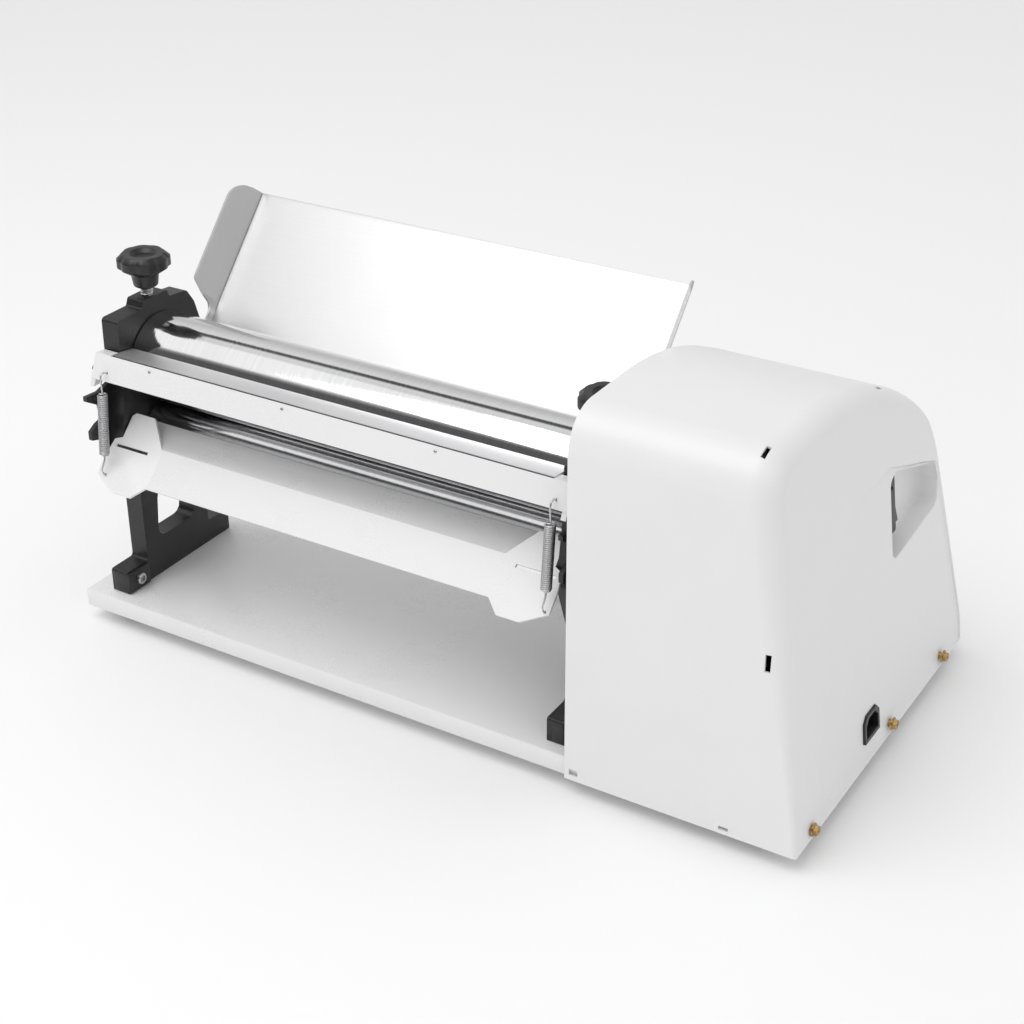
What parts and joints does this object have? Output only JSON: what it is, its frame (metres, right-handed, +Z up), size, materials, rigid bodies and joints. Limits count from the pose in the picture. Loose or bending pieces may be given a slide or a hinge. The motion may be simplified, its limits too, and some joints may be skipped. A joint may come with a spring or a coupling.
{
  "type": "dough sheeter",
  "caption": "Table-top electric dough sheeter: steel rollers between black side frames, lobed gap knobs, sprung scrapers, sloped feed hopper and a white drive cover",
  "frame": {"origin": "centre of the footprint on the surface that the rubber feet stand on", "axes": "+X along the rollers towards the drive cover, +Y from the outlet towards the hopper, +Z up"},
  "size_m": [0.627, 0.3224, 0.3119],
  "materials": {
    "cover_plastic": "smooth white moulding",
    "white_enamel": "white enamel",
    "black_enamel": "black paint on a casting",
    "black_plastic": "moulded black plastic",
    "roller_chrome": "polished hard chrome",
    "bright_steel": "bright steel",
    "hopper_steel": "polished stainless sheet",
    "brass": "turned brass",
    "rubber": "black rubber",
    "aluminium": "machined aluminium"
  },
  "bodies": {
    "frame": {"base_plate": "white_enamel", "cover_screw_front": "brass", "cover_screw_middle": "brass", "cover_screw_rear": "brass", "cover_shell": "cover_plastic", "drive_belt": "rubber", "hopper": "hopper_steel", "hopper_screw_left": "bright_steel", "hopper_screw_right": "bright_steel", "inlet_socket": "black_plastic", "lower_bush_left": "brass", "lower_bush_right": "brass", "motor_body": "aluminium", "motor_cradle": "black_enamel", "rubber_foot_front_left": "rubber", "rubber_foot_front_right": "rubber", "rubber_foot_rear_left": "rubber", "rubber_foot_rear_right": "rubber", "scraper_pin_left": "bright_steel", "scraper_pin_right": "bright_steel", "scraper_spring_left": "bright_steel", "scraper_spring_right": "bright_steel", "side_frame_left": "black_enamel", "side_frame_right": "black_enamel", "side_panel": "aluminium", "switch_body": "black_plastic"},
    "carriage": {"bearing_block_left": "black_enamel", "bearing_block_right": "black_enamel", "upper_bush_left": "brass", "upper_bush_right": "brass", "scraper_arm_left": "black_enamel", "scraper_arm_right": "black_enamel"},
    "left_adjuster": {"knob_left": "black_plastic", "adjusting_screw_left": "bright_steel"},
    "right_adjuster": {"knob_right": "black_plastic", "adjusting_screw_right": "bright_steel"},
    "lower_roll": {"lower_roller": "roller_chrome", "lower_long_gear": "bright_steel", "roller_pulley": "aluminium"},
    "upper_roll": {"upper_roller": "roller_chrome", "upper_long_gear": "bright_steel"},
    "motor_rotor": {"motor_shaft": "bright_steel", "motor_pulley": "aluminium"},
    "upper_wiper": {"upper_scraper": "white_enamel"},
    "chute": {"lower_scraper": "white_enamel"},
    "rocker": {"switch_rocker": "black_plastic"}
  },
  "joints": [
    {"name": "left_knob_turn", "type": "hinge", "parent": "carriage", "child": "left_adjuster", "pos_m": [-0.28545, -0.07748, 0.272], "axis": [0, 0, 1], "range_deg": [0, 900]},
    {"name": "right_knob_turn", "type": "hinge", "parent": "carriage", "child": "right_adjuster", "pos_m": [0.11855, -0.07748, 0.262], "axis": [0, 0, 1], "range_deg": [0, 900]},
    {"name": "roller_lift", "type": "slide", "parent": "frame", "child": "carriage", "axis": [0, 0, 1], "range_m": [0, 0.005], "deforming": ["scraper_spring_left", "scraper_spring_right"]},
    {"name": "lower_roller_turn", "type": "hinge", "parent": "frame", "child": "lower_roll", "pos_m": [-0.08345, -0.07748, 0.1414], "axis": [1, 0, 0], "continuous": true},
    {"name": "upper_roller_turn", "type": "hinge", "parent": "carriage", "child": "upper_roll", "pos_m": [-0.08345, -0.07748, 0.2128], "axis": [1, 0, 0], "continuous": true},
    {"name": "motor_turn", "type": "hinge", "parent": "frame", "child": "motor_rotor", "pos_m": [0.18655, 0.07962, 0.0784], "axis": [1, 0, 0], "continuous": true},
    {"name": "upper_scraper_tilt", "type": "hinge", "parent": "carriage", "child": "upper_wiper", "pos_m": [-0.08345, -0.12838, 0.2195], "axis": [1, 0, 0], "range_deg": [0, 12], "stiffness_Nm_per_rad": 0.4, "springref_deg": -34.38},
    {"name": "lower_scraper_tilt", "type": "hinge", "parent": "frame", "child": "chute", "pos_m": [-0.08345, -0.12288, 0.16], "axis": [1, 0, 0], "range_deg": [0, 10], "stiffness_Nm_per_rad": 1, "springref_deg": -28.65},
    {"name": "switch_rock", "type": "hinge", "parent": "frame", "child": "rocker", "pos_m": [0.28015, 0.04412, 0.174], "axis": [0, 1, 0], "range_deg": [0, 16]}
  ],
  "couplings": [
    {"joint": "left_knob_turn", "follows": "roller_lift", "rad_per_m": 3141.6},
    {"joint": "right_knob_turn", "follows": "roller_lift", "rad_per_m": 3141.6},
    {"joint": "upper_roller_turn", "follows": "lower_roller_turn", "ratio": -1},
    {"joint": "motor_turn", "follows": "lower_roller_turn", "ratio": 4}
  ]
}
